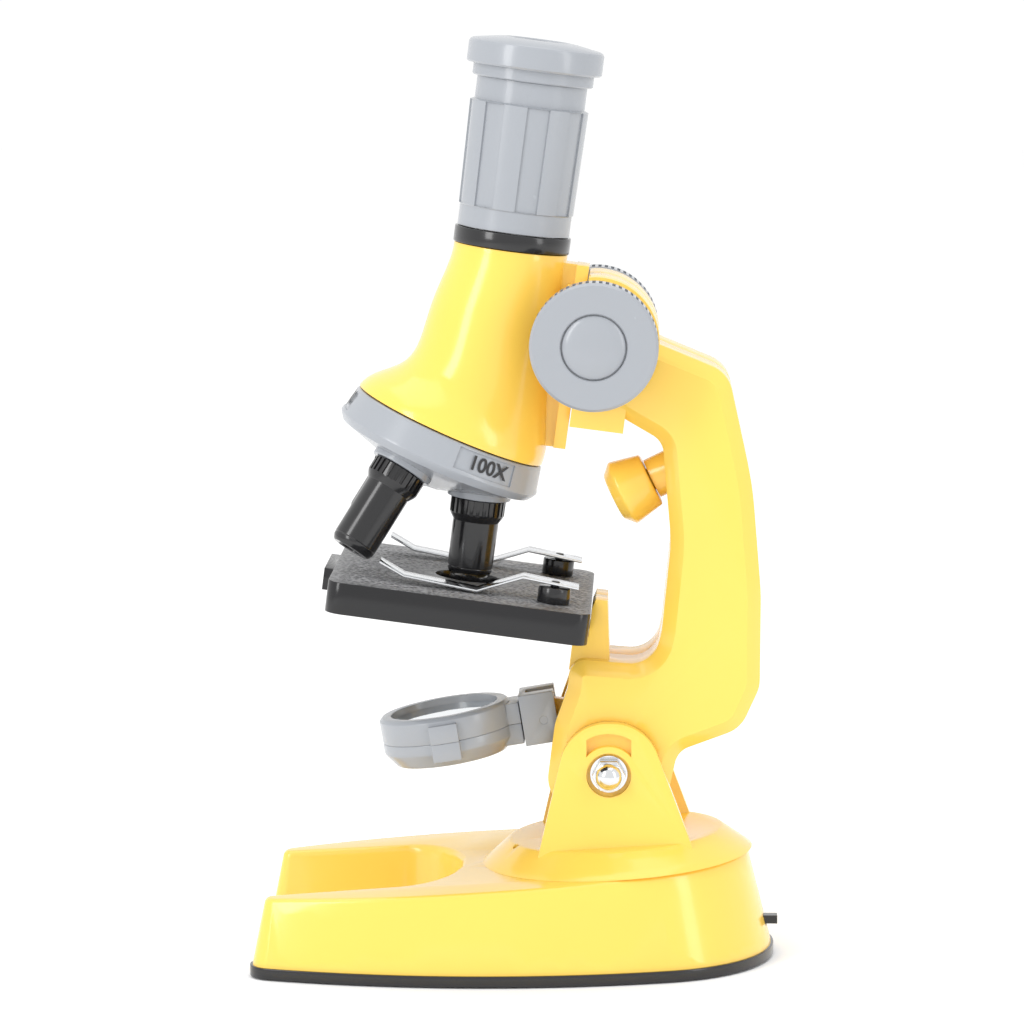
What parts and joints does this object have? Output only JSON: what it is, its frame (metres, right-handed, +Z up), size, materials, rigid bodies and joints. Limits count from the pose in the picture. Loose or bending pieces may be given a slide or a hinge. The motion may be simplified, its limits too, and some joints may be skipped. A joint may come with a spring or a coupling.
{
  "type": "toy microscope",
  "caption": "Child's table microscope with a horseshoe base, a tilting arm, a racked tube with a turning eyepiece, a turret of objectives, a clip stage and a flip lamp.",
  "frame": {"origin": "on the table, at the middle of the outline", "axes": "+Z up, +X to the rear (the horseshoe opens to -X), Y across"},
  "size_m": [0.125, 0.0816, 0.2204],
  "materials": {
    "yellow_shell": "glossy moulded ABS",
    "grey_plastic": "satin-gloss moulded ABS",
    "black_plastic": "glossy moulded ABS",
    "stage_plastic": "leather-grained top, smooth sides",
    "chrome_steel": "bright nickel plate",
    "steel_screw": "zinc plate",
    "plated_contact": "nickel-plated spring steel",
    "rubber": "matt",
    "cell_sleeve": "printed film sleeve",
    "lead_sleeve": "PVC sleeve",
    "mirror_glass": "polished",
    "clear_lens": "moulded clear acrylic",
    "board": "solder-masked laminate"
  },
  "bodies": {
    "base": {"base_shell": "yellow_shell", "pedestal_yoke": "yellow_shell", "bottom_plate": "black_plastic", "battery_door": "black_plastic", "base_screws": "steel_screw", "rubber_feet": "rubber", "aa_cells": "cell_sleeve", "battery_contacts": "plated_contact", "contact_springs": "plated_contact", "yoke_screws": "steel_screw", "pivot_bolt": "chrome_steel", "pivot_washers": "chrome_steel", "cap_nut": "chrome_steel", "switch_body": "black_plastic", "switch_leads": "lead_sleeve"},
    "switch": {"switch_tab": "black_plastic"},
    "arm": {"arm_near_shell": "yellow_shell", "arm_far_shell": "yellow_shell", "arm_screws": "steel_screw", "pivot_sleeve": "black_plastic", "shaft_bushes": "black_plastic", "stage": "stage_plastic", "stage_screws": "steel_screw", "clip_posts": "black_plastic", "lamp_stub": "yellow_shell", "lamp_lead": "lead_sleeve"},
    "clip_near": {"stage_clip_near": "chrome_steel"},
    "clip_far": {"stage_clip_far": "chrome_steel"},
    "lamp_swivel": {"swivel_block": "grey_plastic", "swivel_pin": "chrome_steel"},
    "lamp_head": {"lamp_upper_ring": "grey_plastic", "lamp_lower_ring": "grey_plastic", "mirror": "mirror_glass", "lamp_lens": "clear_lens", "lamp_board": "board"},
    "knob_on_arm": {"arm_knob": "yellow_shell"},
    "focus_drive": {"pinion_shaft": "chrome_steel", "pinion": "black_plastic", "focus_knob_near": "grey_plastic", "focus_knob_far": "grey_plastic", "knob_caps": "grey_plastic"},
    "tube": {"tube_body": "yellow_shell", "rack": "black_plastic", "rack_screws": "steel_screw", "tube_collar": "black_plastic", "tube_liner": "black_plastic", "turret_plate": "black_plastic", "detent_spring": "plated_contact"},
    "eyepiece": {"eyepiece_barrel": "grey_plastic", "eyepiece_cap": "grey_plastic", "eye_lens": "clear_lens", "field_lens": "clear_lens"},
    "turret": {"turret_drum": "grey_plastic", "turret_screw": "steel_screw", "spring_washer": "plated_contact", "objective_100x": "black_plastic", "objective_1200x": "black_plastic", "objective_400x": "black_plastic", "objective_lenses": "clear_lens"}
  },
  "joints": [
    {"name": "arm_tilt", "type": "hinge", "parent": "base", "child": "arm", "pos_m": [0.022, 0, 0.0469], "axis": [0, 1, 0], "range_deg": [-7.3, 35]},
    {"name": "power_switch", "type": "slide", "parent": "base", "child": "switch", "axis": [0, 1, 0], "range_m": [0, 0.003]},
    {"name": "focus_knob", "type": "hinge", "parent": "arm", "child": "focus_drive", "pos_m": [0.01835, 0, 0.14911], "axis": [0, 1, 0], "range_deg": [0, 143.2]},
    {"name": "focus_slide", "type": "slide", "parent": "arm", "child": "tube", "axis": [0.1279, 0, 0.9918], "range_m": [0, 0.01]},
    {"name": "turret_turn", "type": "hinge", "parent": "tube", "child": "turret", "pos_m": [-0.00349, 0, 0.15646], "axis": [0.4043, 0, 0.9146], "range_deg": [-120, 0]},
    {"name": "eyepiece_turn", "type": "hinge", "parent": "tube", "child": "eyepiece", "pos_m": [0.00093, 0, 0.19078], "axis": [0.1279, 0, 0.9918], "range_deg": [0, 150]},
    {"name": "clip_near_swing", "type": "hinge", "parent": "arm", "child": "clip_near", "pos_m": [0.00887, -0.0235, 0.08893], "axis": [0.1279, 0, 0.9918], "range_deg": [0, 50]},
    {"name": "clip_far_swing", "type": "hinge", "parent": "arm", "child": "clip_far", "pos_m": [0.00887, 0.0235, 0.08893], "axis": [0.1279, 0, 0.9918], "range_deg": [-50, 0]},
    {"name": "lamp_tilt", "type": "hinge", "parent": "arm", "child": "lamp_swivel", "pos_m": [0.00632, 0, 0.05761], "axis": [0, 1, 0], "range_deg": [-10, 10]},
    {"name": "lamp_flip", "type": "hinge", "parent": "lamp_swivel", "child": "lamp_head", "pos_m": [0.00109, 0, 0.05673], "axis": [0.9859, 0, 0.1676], "range_deg": [0, 180]},
    {"name": "arm_knob_turn", "type": "hinge", "parent": "arm", "child": "knob_on_arm", "pos_m": [0.03169, 0, 0.11497], "axis": [-0.8953, 0, -0.4454], "continuous": true}
  ],
  "couplings": [
    {"joint": "focus_knob", "follows": "focus_slide", "rad_per_m": 250}
  ]
}
